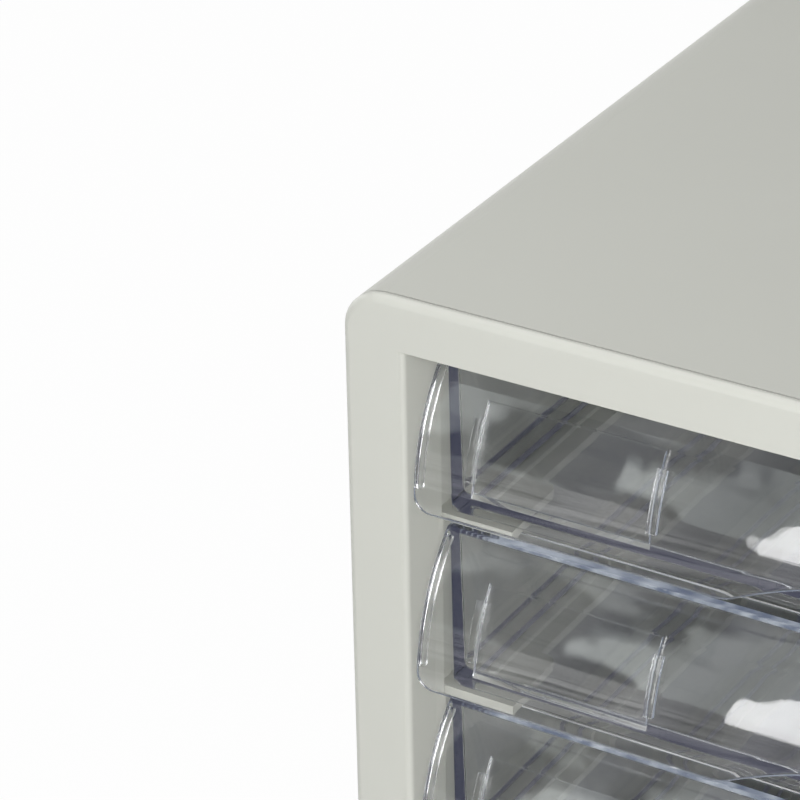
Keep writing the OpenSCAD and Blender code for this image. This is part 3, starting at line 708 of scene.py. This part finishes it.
# Floor: the camera sees it almost plain white, mirrors and glass see patches in front and white
# behind, and scattered light sees plain grey
def makeFloor(look):
    half = look["floorSize"] / 2
    mesh = bpy.data.meshes.new("studioFloor")
    corners = [(-half, -half, 0), (half, -half, 0), (half, half, 0), (-half, half, 0)]
    mesh.from_pydata(corners, [], [(0, 1, 2, 3)])
    floor = bpy.data.objects.new("studioFloor", mesh)
    bpy.context.scene.collection.objects.link(floor)
    material, tree, shader = newMaterial("studioFloor")
    output = tree.nodes["Material Output"]
    shader.inputs["Base Color"].default_value = (*look["floorColour"], 1)
    shader.inputs["Roughness"].default_value = look["floorRoughness"]
    shader.inputs["Specular IOR Level"].default_value = look["floorSheen"]
    path = tree.nodes.new("ShaderNodeLightPath")
    place = tree.nodes.new("ShaderNodeTexCoord")
    parts = tree.nodes.new("ShaderNodeSeparateXYZ")
    tree.links.new(place.outputs["Object"], parts.inputs[0])
    camera = path.outputs["Is Camera Ray"]
    noise = noiseOn(tree, 1, 2, look["floorPatch"])
    patches = mapped(tree, noise, *look["frontGlow"], *look["floorPatchRise"])
    toFront = addNode(tree, "ShaderNodeMix")
    tree.links.new(mapped(tree, parts.outputs["Y"], 0, 1, *look["frontEnd"]), toFront.inputs["Factor"])
    tree.links.new(patches, toFront.inputs["A"])
    toFront.inputs["B"].default_value = 1
    reach = toFront.outputs["Result"]
    mirrored = either(tree, path.outputs["Is Glossy Ray"], path.outputs["Is Transmission Ray"])
    glow = addNode(tree, "ShaderNodeEmission", Color=(1, 1, 1, 1))
    tree.links.new(either(tree, camera, reach), glow.inputs["Strength"])
    mix = tree.nodes.new("ShaderNodeMixShader")
    glowing = either(tree, mapped(tree, camera, 0, look["floorGlow"]), mirrored)
    tree.links.new(glowing, mix.inputs["Fac"])
    tree.links.new(shader.outputs["BSDF"], mix.inputs[1])
    tree.links.new(glow.outputs["Emission"], mix.inputs[2])
    tree.links.new(mix.outputs["Shader"], output.inputs["Surface"])
    mesh.materials.append(material)


# Diffuse light gets an even ambient. Other rays see a sky that darkens upwards, and that is dark with
# pale patches in front, behind the camera.
def makeWorld(look):
    world = bpy.data.worlds.new("studio")
    bpy.context.scene.world = world
    world.use_nodes = True
    tree = world.node_tree
    ground = tree.nodes["Background"]
    ground.inputs["Color"].default_value = (1, 1, 1, 1)
    ground.inputs["Strength"].default_value = look["ambient"]
    seenSky = addNode(tree, "ShaderNodeBackground", Strength=1.0)
    place = tree.nodes.new("ShaderNodeTexCoord")
    parts = tree.nodes.new("ShaderNodeSeparateXYZ")
    tree.links.new(place.outputs["Generated"], parts.inputs[0])
    rise = ramp(tree, parts.outputs["Z"], look["skyLow"], look["skyHigh"], *look["skyRise"])
    blend = tree.nodes.new("ShaderNodeMix")
    blend.data_type = "RGBA"
    stretch = addNode(tree, "ShaderNodeMapping", Scale=look["skyPatch"])
    cloud = addNode(tree, "ShaderNodeTexNoise", Scale=1.0, Detail=2.0)
    tree.links.new(place.outputs["Generated"], stretch.inputs["Vector"])
    tree.links.new(stretch.outputs["Vector"], cloud.inputs["Vector"])
    patches = ramp(tree, cloud.outputs["Fac"], look["skyDark"], look["skyPale"], *look["skyPatchRise"])
    tree.links.new(patches, blend.inputs["A"])
    tree.links.new(mapped(tree, parts.outputs["Y"], 0, 1, *look["skyFront"]), blend.inputs["Factor"])
    tree.links.new(rise, blend.inputs["B"])
    tree.links.new(blend.outputs["Result"], seenSky.inputs["Color"])
    path = tree.nodes.new("ShaderNodeLightPath")
    mix = tree.nodes.new("ShaderNodeMixShader")
    tree.links.new(path.outputs["Is Diffuse Ray"], mix.inputs["Fac"])
    tree.links.new(seenSky.outputs[0], mix.inputs[1])
    tree.links.new(ground.outputs[0], mix.inputs[2])
    tree.links.new(mix.outputs["Shader"], tree.nodes["World Output"].inputs["Surface"])


def makeLamp(name, place, target, width, height, watts):
    data = bpy.data.lights.new(name, "AREA")
    data.shape = "RECTANGLE"
    data.size, data.size_y = width, height
    data.energy = watts
    lamp = bpy.data.objects.new(name, data)
    aim = (Vector(target) - Vector(place)).to_track_quat("-Z", "Y")
    lamp.matrix_world = Matrix.Translation(place) @ aim.to_matrix().to_4x4()
    lamp.visible_camera = False
    bpy.context.scene.collection.objects.link(lamp)


makeFloor(studio)
makeWorld(studio)
for lamp in lamps:
    makeLamp(*lamp)
scene = bpy.context.scene
scene.view_settings.view_transform = "Standard"
scene.cycles.max_bounces = 32
scene.cycles.transmission_bounces = 32
scene.cycles.glossy_bounces = 16
scene.cycles.transparent_max_bounces = 64
print("studio lit")
